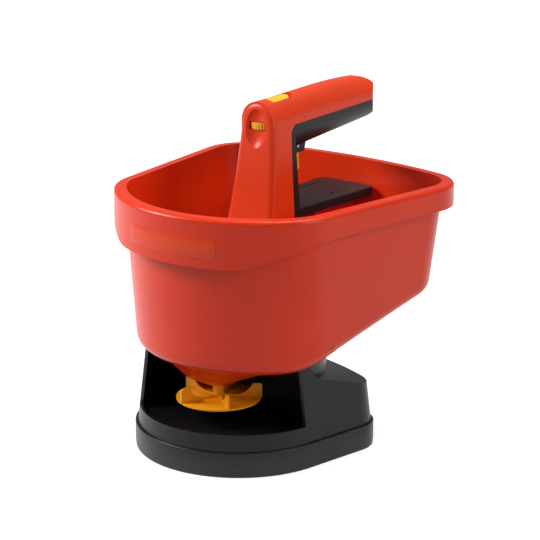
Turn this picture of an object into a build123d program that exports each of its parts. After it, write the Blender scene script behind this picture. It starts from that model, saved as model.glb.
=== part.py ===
from build123d import *
import os
from math import acos, atan2, cos, hypot, pi, radians, sin, sqrt, tan

os.makedirs("parts", exist_ok=True)

# Battery-driven lawn spreader that is held by a handle over its hopper.
# Millimetres, +Z up. The drive shaft is the Z axis, z = 0 is the floor,
# -Y is the front, where the granules are thrown out, and x = 0 is the plane of symmetry.

# Fits and clearances
running_fit = 0.05
screw_fit = 0.1
seat_gap = 0.3
slide_gap = 0.35

# Walls
hopper_wall = 2.6
foot_wall = 3.0
handle_wall = 2.6
case_wall = 2.4

# Rim of the hopper
rim_top = 245.6
rim_front_y = -72.9
rim_front_radius = 139.0
rim_front_angle = 50.8
rim_shoulder_radius = 62.0
rim_half_width = 142.3
rim_corner_y = 162.6
rim_corner_radius = 46.7
rim_rear_radius = 486.0
lip_width = 11.9
lip_thickness = 3.0
lip_round = 4.0
lip_inner_round = 2.8
skirt_low_front = 200.5
skirt_low_side = 223.7

# Body of the hopper
hopper_bottom = 94.0
bottom_front_y = -56.0
bottom_front_radius = 113.0
bottom_front_angle = 52.0
bottom_shoulder_radius = 78.0
bottom_half_width = 115.4
bottom_corner_y = 156.0
bottom_corner_radius = 32.0
bottom_rear_radius = 400.0
bottom_round = 13.0
floor_start_y = 2.5
floor_slope = 0.256
floor_bend_radius = 90.0

# Funnel under the hopper
funnel_centre_y = 31.5
funnel_top_radius = 76.0
cone_top_radius = 32.0
cone_top = 77.5
cone_bottom_radius = 13.0
cone_bottom = 68.0
boss_radius = 5.6
boss_bottom = 67.0
boss_top = 82.0
neck_radius = 82.0
neck_front_y = 20.0
spigot_height = 6.0

# Outlet and its gate
outlet_inner_radius = 16.0
outlet_outer_radius = 27.0
outlet_angle = 44.0
gate_thickness = 1.8
gate_travel = 48.0
gate_arm_angle = 150.0
gate_arm_radius = 2.4
gate_arm_top = 92.0

# Foot
foot_front_y = -68.0
foot_front_radius = 99.5
foot_front_angle = 50.0
foot_shoulder_radius = 98.0
foot_half_width = 109.5
foot_corner_y = 87.4
foot_corner_radius = 30.5
foot_rear_radius = 500.0
plate_height = 5.0
plate_inset = 0.4
plate_chamfer = 1.0
flange_top = 24.5
flange_step = 2.6
flange_round = 1.2
foot_draft = 6.6
deck_start_y = 32.0
deck_start_z = 91.5
deck_slope = 0.259
deck_crown_radius = 415.0
notch_slope = 1.5
notch_y = 24.0
sill_top = 40.0
chamber_floor = 34.0
chamber_rear_y = 52.0
jamb_right_y = 13.0
jamb_left_y = -25.0
collar_centre_y = 31.5
collar_radius = 82.0
collar_wall = 3.2
shelf_width = 22.0
shelf_thickness = 3.5

# Column and grip
column_bottom = 132.5
column_half_width = 19.6
column_arch_z = 305.4
column_widths = ((132.5, 34.0), (187.0, 30.0), (217.0, 27.0), (270.0, 22.4))
column_front = ((-24.0, 141.0), (-8.0, 147.0), (20.0, 164.0), (36.5, 187.0), (45.5, 217.0),
                (54.2, 270.0), (57.9, 313.0), (58.4, 330.0))
column_round = 6.0
column_rear_low = 84.0
column_rear_high = 90.0
grip_half_width = 19.2
grip_end_y = 228.0
grip_sections = ((59.5, 270.2, 325.2), (130.0, 276.2, 327.4), (192.0, 281.4, 328.0), (228.5, 284.4, 325.4))
grip_end_top_round = 19.0
grip_boss_top = 325.6
grip_end_low_round = 22.0
parting_y = 105.0
parting_z = 301.3
parting_slope = 0.0295
parting_round = 10.0
strip_front_high = 84.5
strip_front_low = 80.6

# Plate below the hand, with the battery bay
hand_plate_top = 222.2
hand_plate_thickness = 8.5
hand_plate_front_half = 26.6
hand_plate_rear_half = 33.0
hand_plate_rear_y = 203.0
hand_plate_corner = 8.0
hand_plate_edge = 1.6
cell_radius = 7.25
cell_length = 50.5
cell_gap = 0.6
bay_wall = 2.2
bay_front = 128.0
contact_space = 3.6
lid_thickness = 2.2
hinge_radius = 1.6

# Thumb scoop and dial
dial_radius = 13.0
dial_thickness = 6.2
dial_z = 302.2
dial_y = 70.6
dial_ribs = 26
dial_pin_radius = 2.0
scoop_half_width = 12.5
scoop_half_height = 18.5
scoop_face_y = 57.0
scoop_depth = 4.2
scoop_reach = 10.0
web_thickness = 2.4

# Power slider
slider_half_width = 8.0
slider_front_y = 73.0
slider_rear_y = 101.0
slider_travel = 5.0
slider_floor = 321.4
slider_floor_thickness = 2.4
slider_stem_width = 4.0
slider_stem_length = 8.0

# Gate cable
cable_radius = 1.5

# Trigger
hood_half_width = 8.6
hood_front_y = 98.0
hood_rear_top = 123.0
hood_rear_bottom = 119.4
hood_bottom = 269.2
hood_top = 280.0
hood_wall = 1.9
trigger_half_width = 5.6
trigger_pivot_y = 110.6
trigger_pivot_z = 275.0
trigger_front_y = 104.4
trigger_rear_y = 115.6
trigger_bottom = 251.4
trigger_pin_radius = 1.5
trigger_hub_radius = 4.6
trigger_ribs = 4
arm_height = 10.2
spring_x = 3.9
spring_half = 1.35
spring_radius = 2.35
switch_rear_y = 104.6
switch_rise = 5.2
switch_seat_z = trigger_pivot_z + switch_rise

# Gears, module in millimetres, one tooth height for all
gear_module = 1.0
pressure_angle = 25.0
tooth_addendum = 0.8
tooth_dedendum = 1.05
tooth_backlash = 0.14
output_teeth = 36
idler_small_teeth = 12
idler_large_teeth = 32
pinion_teeth = 10
output_gear_width = 8.0
idler_gear_width = 7.0

# Drive
shaft_radius = 3.0
shaft_bottom = 47.0
idler_pin_radius = 2.0
motor_radius = 12.2
motor_length = 31.0
motor_shaft_radius = 1.0
case_bottom = 104.0
case_nose_radius = 23.5
case_half_width = 34.0
case_corner_radius = 12.0
motor_plate_thickness = 2.5
gear_floor_gap = 1.2
bush_radius = 4.6
bush_flange_radius = 5.3

# Spreading disc
disc_radius = 40.0
disc_top = 54.0
disc_thickness = 2.0
fin_count = 5
fin_first_angle = 34.0
fin_thickness = 1.8
fin_height = 13.4
fin_tab = 9.6
fin_reach = 0.8
fin_foot_radius = 11.0
hub_radius = 5.4
hub_top = 66.4

# Screws
screw_radius = 2.0
screw_head_radius = 3.8
screw_head_height = 2.6
small_screw_radius = 1.5
small_head_radius = 3.0


def mix(a, b, t):
    return a + (b - a) * t


def block(x0, x1, y0, y1, z0, z1):
    return Pos((x0 + x1) / 2, (y0 + y1) / 2, (z0 + z1) / 2) * Box(x1 - x0, y1 - y0, z1 - z0)


def rod(radius, z0, z1, x=0.0, y=0.0):
    return Pos(x, y, (z0 + z1) / 2) * Cylinder(radius, z1 - z0)


def tube(outer, inner, z0, z1, x=0.0, y=0.0):
    return rod(outer, z0, z1, x, y) - rod(inner, z0 - 1, z1 + 1, x, y)


def across(radius, half_length, y, z):
    return Pos(0, y, z) * Rot(0, 90, 0) * Cylinder(radius, 2 * half_length)


def side_prism(points, half_width):
    face = make_face(Polyline(*[(0, y, z) for y, z in points], close=True))
    return extrude(face, amount=half_width, dir=(1, 0, 0), both=True)


def outline_face(front_y, front_radius, front_angle, shoulder_radius, half_width, corner_y,
                 corner_radius, rear_radius, inset, z):
    # Rounded outline seen from above: front arc, shoulder arcs, straight sides, corner arcs, rear arc
    front_y_centre = front_y + front_radius
    phi = radians(front_angle)
    shoulder_x = (front_radius - shoulder_radius) * sin(phi)
    shoulder_y = front_y_centre - (front_radius - shoulder_radius) * cos(phi)
    corner_x = half_width - corner_radius
    dx = corner_x - shoulder_x
    dy = corner_y - shoulder_y
    side = atan2(dy, dx) - acos((shoulder_radius - corner_radius) / hypot(dx, dy))
    rear_centre = corner_y - sqrt((rear_radius - corner_radius) ** 2 - corner_x ** 2)
    rear = atan2(corner_y - rear_centre, corner_x)

    def at(x, y, radius, angle):
        return (x + (radius - inset) * cos(angle), y + (radius - inset) * sin(angle), z)

    def left(p):
        return (-p[0], p[1], p[2])

    front_mid = at(0, front_y_centre, front_radius, -pi / 2)
    front_end = at(0, front_y_centre, front_radius, phi - pi / 2)
    shoulder_mid = at(shoulder_x, shoulder_y, shoulder_radius, (phi - pi / 2 + side) / 2)
    shoulder_end = at(shoulder_x, shoulder_y, shoulder_radius, side)
    corner_start = at(corner_x, corner_y, corner_radius, side)
    corner_mid = at(corner_x, corner_y, corner_radius, (side + rear) / 2)
    corner_end = at(corner_x, corner_y, corner_radius, rear)
    rear_mid = at(0, rear_centre, rear_radius, pi / 2)
    edges = [
        ThreePointArc(left(front_end), front_mid, front_end),
        ThreePointArc(front_end, shoulder_mid, shoulder_end),
        Line(shoulder_end, corner_start),
        ThreePointArc(corner_start, corner_mid, corner_end),
        ThreePointArc(corner_end, rear_mid, left(corner_end)),
        ThreePointArc(left(corner_end), left(corner_mid), left(corner_start)),
        Line(left(corner_start), left(shoulder_end)),
        ThreePointArc(left(shoulder_end), left(shoulder_mid), left(front_end)),
    ]
    return make_face(edges)


def rim_face(inset, z):
    return outline_face(rim_front_y, rim_front_radius, rim_front_angle, rim_shoulder_radius, rim_half_width,
                        rim_corner_y, rim_corner_radius, rim_rear_radius, inset, z)


def bottom_face(inset, z):
    return outline_face(bottom_front_y, bottom_front_radius, bottom_front_angle, bottom_shoulder_radius,
                        bottom_half_width, bottom_corner_y, bottom_corner_radius, bottom_rear_radius,
                        inset, z)


def foot_face(inset, z):
    return outline_face(foot_front_y, foot_front_radius, foot_front_angle, foot_shoulder_radius,
                        foot_half_width, foot_corner_y, foot_corner_radius, foot_rear_radius, inset, z)


def case_face(inset, z, rear_y):
    return outline_face(-case_nose_radius, case_nose_radius, 50, case_nose_radius * 0.98, case_half_width,
                        rear_y - case_corner_radius, case_corner_radius, 900, inset, z)


# Hopper

def floor_z(y):
    return hopper_bottom + floor_slope * (y - floor_start_y)


def hopper_form(inset):
    # Body below the rim: lofted walls over a flat front bottom and a floor that rises to the rear
    low = hopper_bottom + inset
    top = rim_top + (5 if inset else 0)
    draft_top = lip_width - hopper_wall
    walls = loft([bottom_face(inset, hopper_bottom), rim_face(draft_top + inset, rim_top)], ruled=True)
    if inset:
        walls += extrude(rim_face(draft_top + inset, rim_top), amount=top - rim_top)
    far = 400
    steep = low + floor_slope * (far - floor_start_y)
    profile = make_face(Polyline((0, -far, low - far), (0, -far, low), (0, floor_start_y, low),
                                 (0, far, steep),
                                 (0, far, low - far), close=True))
    bend = [v for v in profile.vertices() if abs(v.Y - floor_start_y) < 0.01]
    profile = fillet(bend, floor_bend_radius)
    form = walls - extrude(profile, amount=far, dir=(1, 0, 0), both=True)
    edges = [e for e in form.edges() if on_floor(e @ 0, low) and on_floor(e @ 1,
                                                                          low) and abs((e @ 0.5).X) > 0.5]
    edges += [e for e in form.edges() if on_floor(e @ 0, low) and on_floor(e @ 1, low)
              and abs((e @ 0.5).X) < 0.5 and abs((e @ 0.5).Y - floor_start_y) > 60]
    return fillet(edges, bottom_round - inset)


def on_floor(point, low):
    height = low + max(0.0, floor_slope * (point.Y - floor_start_y))
    return abs(point.Z - height) < 1.2


def funnel(inset):
    low_radius = cone_bottom_radius - inset * 0.6
    lower = loft([Pos(0, 0, cone_bottom + inset) * Circle(low_radius),
                  Pos(0, 0, cone_top + inset) * Circle(cone_top_radius)], ruled=True)
    upper = loft([Pos(0, 0, cone_top + inset) * Circle(cone_top_radius),
                  Pos(0, funnel_centre_y, hopper_bottom + inset) * Circle(funnel_top_radius)], ruled=True)
    return lower + upper


def skirt():
    ring = extrude(rim_face(0, skirt_low_front), amount=rim_top - skirt_low_front)
    ring = fillet(ring.faces().sort_by(Axis.Z)[-1].edges(), lip_round)
    channel = extrude(rim_face(hopper_wall, skirt_low_front - 1),
                      amount=rim_top - lip_thickness - skirt_low_front + 1)
    ring -= fillet(channel.faces().sort_by(Axis.Z)[-1].edges(), lip_inner_round)
    ring -= extrude(rim_face(lip_width, rim_top - 10), amount=20)
    rise = skirt_low_side - skirt_low_front
    curve = Spline((0, -60, skirt_low_front), (0, -42, skirt_low_front + 0.28 * rise),
                   (0, -19, skirt_low_front + 0.7 * rise), (0, 22, skirt_low_side),
                   tangents=[(0, 1, 0), (0, 1, 0)])
    far = 300
    low = skirt_low_front - 5
    edges = [Line((0, -far, low), (0, -far, skirt_low_front)),
             Line((0, -far, skirt_low_front), (0, -60, skirt_low_front)),
             curve, Line((0, 22, skirt_low_side), (0, far, skirt_low_side)),
             Line((0, far, skirt_low_side), (0, far, low)), Line((0, far, low), (0, -far, low))]
    return ring - extrude(make_face(edges), amount=far, dir=(1, 0, 0), both=True)


def outlet_window(angle, extra):
    # Wedge that cuts the outlet through the lower cone or through the gate
    half = outlet_angle / 2 + extra
    reach = outlet_outer_radius * 1.3
    ring = tube(outlet_outer_radius + extra / 6, outlet_inner_radius - extra / 6, cone_bottom - 5,
                cone_top + 12)
    wedge = make_face(Polyline((0, 0),
                               (reach * cos(radians(angle - half)), reach * sin(radians(angle - half))),
                               (reach * cos(radians(angle + half)), reach * sin(radians(angle + half))),
                               close=True))
    return ring & extrude(Pos(0, 0, cone_bottom - 5) * wedge, amount=cone_top - cone_bottom + 17)


foot_boss_spots = ((0.0, 97.5), (62.0, 60.5), (-62.0, 60.5))
column_screw_spots = ((17.0, 78.0), (-17.0, 78.0))
shelf_top = hopper_bottom - spigot_height - seat_gap
shelf_bottom = shelf_top - shelf_thickness
foot_boss_radius = 4.6
foot_boss_screw = 9.0
pad_depth = 20.0
pad_half_width = 24.0
pad_front = column_rear_low - pad_depth
pedestal_half_width = 26.0
pedestal_front = pad_front + case_wall + seat_gap
spigot_radius = collar_radius - collar_wall - seat_gap


def pedestal(inset):
    # Hollow block that stands up in the well and carries the gear case and the column
    half = pedestal_half_width - inset
    return block(-half, half, pedestal_front + inset, bottom_corner_y, 0, rim_top)


def pedestal_hollow():
    # Room under the pedestal, open downwards, for the heads of the column's screws
    room = pedestal(hopper_wall) & rod(spigot_radius - hopper_wall, cone_bottom, rim_top, 0, collar_centre_y)
    top = side_prism([(0, floor_z(0)), (bottom_corner_y, floor_z(bottom_corner_y)),
                      (bottom_corner_y, rim_top + 1),
                      (0, rim_top + 1)], pedestal_half_width)
    return room - top


def make_hopper():
    body = hopper_form(0)
    neck = rod(neck_radius, hopper_bottom, hopper_bottom + 40, 0, collar_centre_y)
    neck -= block(-200, 200, -200, neck_front_y, 0, 300)
    body += neck & extrude(bottom_face(8, hopper_bottom), amount=40)
    body += funnel(0)
    body += rod(boss_radius, boss_bottom, boss_top)
    well = rod(neck_radius - hopper_wall, hopper_bottom + hopper_wall, hopper_bottom + 37, 0,
               collar_centre_y)
    well += funnel(hopper_wall)
    well -= pedestal(0)
    cavity = hopper_form(hopper_wall) + well
    cavity -= rod(boss_radius, boss_bottom, boss_top)
    body -= cavity
    body -= pedestal_hollow()
    body += skirt()
    spigot = tube(spigot_radius, spigot_radius - hopper_wall, hopper_bottom - spigot_height,
                  hopper_bottom + 1, 0,
                  collar_centre_y)
    body += spigot - block(-200, 200, -200, notch_y + seat_gap, 0, 300)
    for x, y in foot_boss_spots:
        top = floor_z(y) + 1 if abs(x) < pedestal_half_width else shelf_top + foot_boss_screw + hopper_wall
        body += rod(foot_boss_radius, shelf_top + seat_gap, top, x, y)
        body -= rod(screw_radius + screw_fit, shelf_top - 1, shelf_top + foot_boss_screw, x, y)
    for x, y in column_screw_spots:
        body -= rod(screw_radius + screw_fit, boss_bottom, column_bottom, x, y)
    body -= rod(bush_radius + 0.01, boss_bottom - 1, boss_top + 1)
    return body - outlet_window(90, 0)


def make_outlet_bush():
    body = tube(bush_radius, shaft_radius + running_fit, boss_bottom + 0.4, boss_top)
    return body + tube(bush_flange_radius, shaft_radius + running_fit, boss_top, boss_top + 1.0)


def make_outlet_gate():
    rise = (cone_top - cone_bottom) / (cone_top_radius - cone_bottom_radius + hopper_wall * 0.6)
    r0 = outlet_inner_radius - 3.2
    r1 = outlet_outer_radius + 2.6
    z0 = cone_bottom + hopper_wall + seat_gap + rise * (r0 - cone_bottom_radius + hopper_wall * 0.6)
    z1 = z0 + rise * (r1 - r0)
    profile = make_face(Polyline((r0, 0, z0), (r1, 0, z1), (r1, 0, z1 + gate_thickness),
                                 (r0, 0, z0 + gate_thickness), close=True))
    ring = revolve(profile, Axis.Z, 360)
    ring -= outlet_window(90 - gate_travel, 1.5)
    angle = radians(gate_arm_angle)
    spot = (r1 - gate_arm_radius - 0.4)
    post = rod(gate_arm_radius, z1 + 0.4, gate_arm_top, spot * cos(angle), spot * sin(angle))
    return ring + post


# Foot

def deck_z(y):
    return deck_start_z - deck_slope * (y - deck_start_y)


def foot_wall_inset(z):
    return flange_step + (z - flange_top) * tan(radians(foot_draft))


def foot_taper(inset, z0, z1):
    return loft([foot_face(foot_wall_inset(z0) + inset, z0), foot_face(foot_wall_inset(z1) + inset, z1)],
                ruled=True)


def under_deck(drop):
    # Space below the sloping, crowned deck, and all of the space in front of the notch
    far = 260
    steep = hopper_bottom - drop
    front = side_prism([(-far, -20), (-far, 200), (notch_y, 200), (notch_y, steep),
                        (notch_y + steep / notch_slope, 0), (notch_y + steep / notch_slope, -20)], far)
    half = 150
    sag = deck_crown_radius - sqrt(deck_crown_radius ** 2 - half ** 2)
    top = deck_z(0) - drop
    arc = ThreePointArc((-half, 0, top - sag), (0, 0, top), (half, 0, top - sag))
    edges = [arc, Line((half, 0, top - sag), (half, 0, -60)), Line((half, 0, -60), (-half, 0, -60)),
             Line((-half, 0, -60), (-half, 0, top - sag))]
    slope = Vector(0, 1, -deck_slope)
    return front + extrude(make_face(edges), amount=far * slope.length, dir=slope)


plate_screw_spots = ((56.0, -22.0), (-56.0, -22.0), (50.0, 58.0), (-50.0, 58.0), (0.0, 117.5))


def foot_hollow():
    # Room under the chamber floor and behind the chamber, open to the floor plate
    low = flange_top - foot_wall
    hollow = extrude(foot_face(foot_wall, plate_height), amount=low - plate_height)
    hollow += foot_taper(foot_wall, low - 1, chamber_floor - foot_wall)
    behind = block(-300, 300, chamber_rear_y + foot_wall, 300, -50, 300)
    rear = foot_taper(foot_wall, low - 1, hopper_bottom) & under_deck(foot_wall)
    rear += rod(collar_radius - collar_wall, flange_top, shelf_bottom, 0, collar_centre_y)
    return hollow + (rear & behind)


def foot_chamber():
    # Room round the spreading disc, closed behind by a wall
    chamber = foot_taper(foot_wall, chamber_floor, hopper_bottom + 1) & under_deck(foot_wall)
    chamber += rod(collar_radius - collar_wall, chamber_floor + 1, hopper_bottom + 1, 0, collar_centre_y)
    return chamber & block(-300, 300, -300, chamber_rear_y, -50, 300)


def collar_seat():
    # Room of the hopper's spigot, its screw bosses and its funnel
    inner_radius = collar_radius - collar_wall
    seat = tube(inner_radius, inner_radius - shelf_width, shelf_top, hopper_bottom + 1, 0, collar_centre_y)
    seat += rod(inner_radius - shelf_width + 0.01, shelf_bottom - 1, hopper_bottom + 1, 0, collar_centre_y)
    seat = seat & block(-300, 300, chamber_rear_y - 1, 300, -50, 300)
    return seat + funnel(-slide_gap)


def make_foot_shell():
    flange = extrude(foot_face(0, plate_height), amount=flange_top - plate_height)
    flange = fillet(flange.faces().sort_by(Axis.Z)[-1].edges(), flange_round)
    body = flange + (foot_taper(0, flange_top - 2, hopper_bottom) & under_deck(0))
    collar = rod(collar_radius, chamber_floor, hopper_bottom, 0, collar_centre_y)
    body += collar - block(-200, 200, -200, notch_y, 0, 300)
    body -= foot_chamber()
    body -= foot_hollow()
    body -= collar_seat()
    body -= block(-200, 0, -200, jamb_left_y, sill_top, 300) + block(-0.01, 200, -200, jamb_right_y,
                                                                     sill_top, 300)
    for x, y in plate_screw_spots:
        body += rod(5.0, plate_height, chamber_floor - foot_wall + 0.5, x, y)
        body -= rod(screw_radius + screw_fit, plate_height - 1, plate_height + 14, x, y)
    for x, y in foot_boss_spots:
        body -= rod(screw_radius + screw_fit, shelf_bottom - 1, shelf_top + 1, x, y)
    return body


def make_foot_floor_plate():
    body = extrude(foot_face(plate_inset, 0), amount=plate_height)
    body = chamfer(body.faces().sort_by(Axis.Z)[0].edges(), plate_chamfer)
    body -= extrude(foot_face(plate_inset + foot_wall, 3), amount=plate_height)
    for x, y in plate_screw_spots:
        body += rod(7.0, 2.5, plate_height, x, y)
        body -= rod(screw_radius + screw_fit, -1, plate_height + 1, x, y)
        body -= rod(screw_head_radius + 0.3, -1, screw_head_height + 0.4, x, y)
    return body


def screw_up(x, y, seat, length, radius, head_radius, head_height):
    # Screw that is driven upwards, with its head below the seat
    body = rod(radius, seat - 0.1, seat + length, x, y) + rod(head_radius, seat - head_height, seat, x, y)
    slot = block(x - head_radius * 0.6, x + head_radius * 0.6, y - 0.4, y + 0.4, seat - head_height - 1,
                 seat - head_height + 0.9)
    return body - slot - block(x - 0.4, x + 0.4, y - head_radius * 0.6, y + head_radius * 0.6,
                               seat - head_height - 1, seat - head_height + 0.9)


def make_foot_plate_screws():
    return [screw_up(x, y, screw_head_height + 0.4, 14, screw_radius, screw_head_radius, screw_head_height)
            for x, y in plate_screw_spots]


def make_hopper_screws():
    return [screw_up(x, y, shelf_bottom, shelf_thickness + 8, screw_radius, screw_head_radius,
                     screw_head_height)
            for x, y in foot_boss_spots]


# Handle

def column_form(inset):
    front = Spline(*[(0, y + inset, z) for y, z in column_front])
    y_low, z_low = column_front[0]
    y_high, z_high = column_front[-1]
    rear = column_rear_high - inset
    rear_low = column_rear_low - inset
    plate_low = hand_plate_top - hand_plate_thickness
    edges = [front, Line((0, y_high + inset, z_high), (0, rear, z_high)),
             Line((0, rear, z_high), (0, rear, plate_low)),
             Line((0, rear, plate_low), (0, rear_low, plate_low)),
             Line((0, rear_low, plate_low), (0, rear_low, column_bottom)),
             Line((0, rear_low, column_bottom), (0, y_low + inset, column_bottom)),
             Line((0, y_low + inset, column_bottom), (0, y_low + inset, z_low))]
    side = extrude(make_face(edges), amount=60, dir=(1, 0, 0), both=True)
    arch = column_half_width - inset
    right = [(w - inset, 0, z) for z, w in column_widths] + [(arch, 0, column_arch_z)]
    flank = Spline(*right)
    mirror = Spline(*[(-x, y, z) for x, y, z in right])
    cap = ThreePointArc((arch, 0, column_arch_z), (0, 0, column_arch_z + arch), (-arch, 0, column_arch_z))
    base = Line((-right[0][0], 0, column_bottom), (right[0][0], 0, column_bottom))
    front_view = extrude(make_face([flank, cap, mirror, base]), amount=120, dir=(0, 1, 0), both=True)
    plan = extrude(case_face(inset, column_bottom, column_rear_high + 8), amount=220)
    form = side & front_view
    front_edges = [e for e in form.edges() if (e @ 0.5).Y < column_front[-1][0] + inset
                   and (e @ 0.5).Z > column_bottom + 1 and abs((e @ 0.5).X) > 1]
    return fillet(front_edges, column_round - inset) & plan


def slot_section(y, bottom, top, half_width):
    low = bottom + half_width
    high = top - half_width
    edges = [Line((half_width, y, low), (half_width, y, high)),
             ThreePointArc((half_width, y, high), (0, y, top), (-half_width, y, high)),
             Line((-half_width, y, high), (-half_width, y, low)),
             ThreePointArc((-half_width, y, low), (0, y, bottom), (half_width, y, low))]
    return make_face(edges)


def grip_form(inset):
    sections = [slot_section(y, low + inset, high - inset, grip_half_width - inset) for y, low,
                high in grip_sections]
    form = loft(sections)
    end = grip_end_y - inset
    width = grip_half_width - inset + 1
    plan = make_face(Polyline((-width, 0), (width, 0), (width, end), (-width, end), close=True))
    plan = fillet(plan.vertices().group_by(Axis.Y)[-1], width - 2)
    form &= extrude(Pos(0, 0, 200) * plan, amount=200)
    low = grip_low(end) + inset
    high = grip_sections[-1][2] - inset + 0.6
    side = make_face(Polyline((0, 0, low - 30), (0, end, low), (0, end, high), (0, 0, high + 8), close=True))
    corners = side.vertices().group_by(Axis.Y)[-1].sort_by(Axis.Z)
    side = fillet(corners[0], grip_end_low_round - inset)
    side = fillet(side.vertices().sort_by(lambda v: v.Y + v.Z)[-1], grip_end_top_round - inset)
    return form & extrude(side, amount=40, dir=(1, 0, 0), both=True)


def liner_zone():
    start_z = parting_z + parting_slope * (strip_front_high - parting_y)
    end_z = parting_z + parting_slope * (260 - parting_y)
    low = hand_plate_top - hand_plate_thickness
    face = make_face(Polyline((0, strip_front_high, start_z), (0, strip_front_low, low), (0, 260, low),
                              (0, 260, end_z), close=True))
    corner = face.vertices().sort_by(Axis.Y)[1]
    face = fillet(corner, parting_round)
    return extrude(face, amount=60, dir=(1, 0, 0), both=True)


bay_half_width = 2 * cell_radius + cell_gap / 2 + cell_gap
bay_length = cell_length + 2 * contact_space
bay_rear = bay_front + bay_length
bay_top = hand_plate_top - lid_thickness
cell_pitch = 2 * cell_radius + cell_gap
cell_z = bay_top - cell_gap - cell_radius
bay_bottom = cell_z - cell_pitch - cell_radius - cell_gap
bay_middle = bay_front + bay_length / 2
lid_half_width = bay_half_width + 2.0
lid_front = bay_front - 1.0
lid_rear = bay_rear + 1.0


def make_hand_plate():
    front = column_rear_low - 3
    low = hand_plate_top - hand_plate_thickness
    face = make_face(Polyline((hand_plate_front_half, front, low),
                              (hand_plate_rear_half, hand_plate_rear_y, low),
                              (-hand_plate_rear_half, hand_plate_rear_y, low),
                              (-hand_plate_front_half, front, low), close=True))
    face = fillet(face.vertices().group_by(Axis.Y)[-1], hand_plate_corner)
    body = extrude(face, amount=hand_plate_thickness)
    return fillet(body.faces().sort_by(Axis.Z)[-1].edges(), hand_plate_edge)


def hinge_centre():
    return (-lid_half_width - hinge_radius, hand_plate_top - hinge_radius)


def lid_pocket():
    x, z = hinge_centre()
    body = block(x, lid_half_width + seat_gap, lid_front - seat_gap, lid_rear + seat_gap, bay_top,
                 hand_plate_top + 2)
    groove = Pos(x, (lid_front + lid_rear) / 2, z) * Rot(90, 0, 0)
    body += groove * Cylinder(hinge_radius + seat_gap, lid_rear - lid_front + 2 * seat_gap)
    body += block(x - hinge_radius - seat_gap, x, lid_front - seat_gap, lid_rear + seat_gap, z,
                  hand_plate_top + 2)
    return body


def make_battery_lid():
    x, z = hinge_centre()
    body = block(x, lid_half_width, lid_front, lid_rear, bay_top + 0.1, hand_plate_top)
    barrel = Pos(x, (lid_front + lid_rear) / 2, z) * Rot(90, 0, 0) * Cylinder(hinge_radius,
                                                                              lid_rear - lid_front)
    body -= block(x - 1, x + hinge_radius, lid_front - 1, lid_rear + 1, bay_top - 1, z)
    body += barrel
    notch_y = (lid_front + lid_rear) / 2
    return body - Pos(lid_half_width + 3, notch_y, hand_plate_top + 3) * Sphere(7)


def make_battery_box():
    flange_half = bay_half_width + bay_wall
    low = hand_plate_top - hand_plate_thickness
    body = block(-flange_half, flange_half, bay_front - bay_wall, bay_rear + bay_wall,
                 bay_bottom - bay_wall, low)
    body += block(-bay_half_width - bay_wall, bay_half_width + bay_wall, bay_front - bay_wall,
                  bay_rear + bay_wall,
                  low, bay_top - 1.6)
    body -= block(-bay_half_width, bay_half_width, bay_front, bay_rear, bay_bottom, bay_top + 10)
    return body


def bay_hole():
    side = bay_half_width + bay_wall + seat_gap
    low = hand_plate_top - hand_plate_thickness
    cut = block(-side, side, bay_front - bay_wall - seat_gap, bay_rear + bay_wall + seat_gap, low - 1,
                bay_top - 1.6)
    return cut + block(-bay_half_width, bay_half_width, bay_front, bay_rear, low, bay_top + 1)


def in_bay(shape, ix, iz):
    # Places a piece modelled for the first cell; neighbours lie the other way round
    x = (ix - 0.5) * cell_pitch
    turned = Pos(0, bay_middle, 0) * Rot(0, 0, 180 * ((ix + iz) % 2)) * Pos(0, -bay_middle, 0) * shape
    return Pos(x, 0, cell_z - iz * cell_pitch) * turned


def along(radius, y0, y1):
    return Pos(0, (y0 + y1) / 2, 0) * Rot(90, 0, 0) * Cylinder(radius, y1 - y0)


def make_cell(ix, iz):
    y0 = bay_front + contact_space + 0.05
    y1 = bay_rear - contact_space - 0.05
    can = along(cell_radius, y0, y1 - 1.2)
    nub = along(2.6, y1 - 1.3, y1)
    return in_bay(can + nub, ix, iz)


def make_contacts():
    plates = []
    for ix in (0, 1):
        for iz in (0, 1):
            rear = block(-5.5, 5.5, bay_rear - 0.5, bay_rear, -5.5, 5.5)
            rear += block(-1.6, 1.6, bay_rear - contact_space, bay_rear - 0.4, -0.3, 0.3)
            plates.append(in_bay(rear, ix, iz))
            plates.append(in_bay(block(-5.5, 5.5, bay_front, bay_front + 0.5, -5.5, 5.5), ix, iz))
    return plates


def make_contact_springs():
    coils = []
    y0 = bay_front + 0.5
    y1 = bay_front + contact_space
    coil = Pos(0, (y0 + y1) / 2, 0) * Rot(90, 0,
                                          0) * (Cone(4.9, 2.3, y1 - y0 - 0.02) - Cone(4.2, 1.6, y1 - y0))
    for t in (0.16, 0.4, 0.64, 0.86):
        coil += Pos(0, mix(y0, y1, t), 0) * Rot(90, 0, 0) * Torus(mix(2.2, 4.6, t), 0.45)
    coil = coil & block(-8, 8, y0 + 0.01, y1 - 0.01, -8, 8)
    for ix in (0, 1):
        for iz in (0, 1):
            coils.append(in_bay(coil, ix, iz))
    return coils


def scoop(extra):
    depth = scoop_reach + extra
    k = sqrt(1 - ((scoop_reach - scoop_depth) / scoop_reach) ** 2)
    half_x = scoop_half_width / k + extra
    half_z = scoop_half_height / k + extra
    ball = scale(Sphere(1), by=(half_x, depth, half_z))
    return Pos(0, scoop_face_y + scoop_depth - scoop_reach, dial_z) * ball


def dial_webs():
    low = dial_z - dial_thickness / 2 - 1.0 - web_thickness
    high = dial_z + dial_thickness / 2 + 1.0
    return block(-40, 40, 40, 88, low, low + web_thickness) + block(-40, 40, 40, 88, high,
                                                                    high + web_thickness)


def slider_plan(y0, y1, half_width, z0, z1):
    # Straight front end and half-round rear end
    centre = y1 - half_width
    plan = block(-half_width, half_width, y0, centre, z0, z1)
    return plan + rod(half_width, z0, z1, 0, centre)


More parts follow.
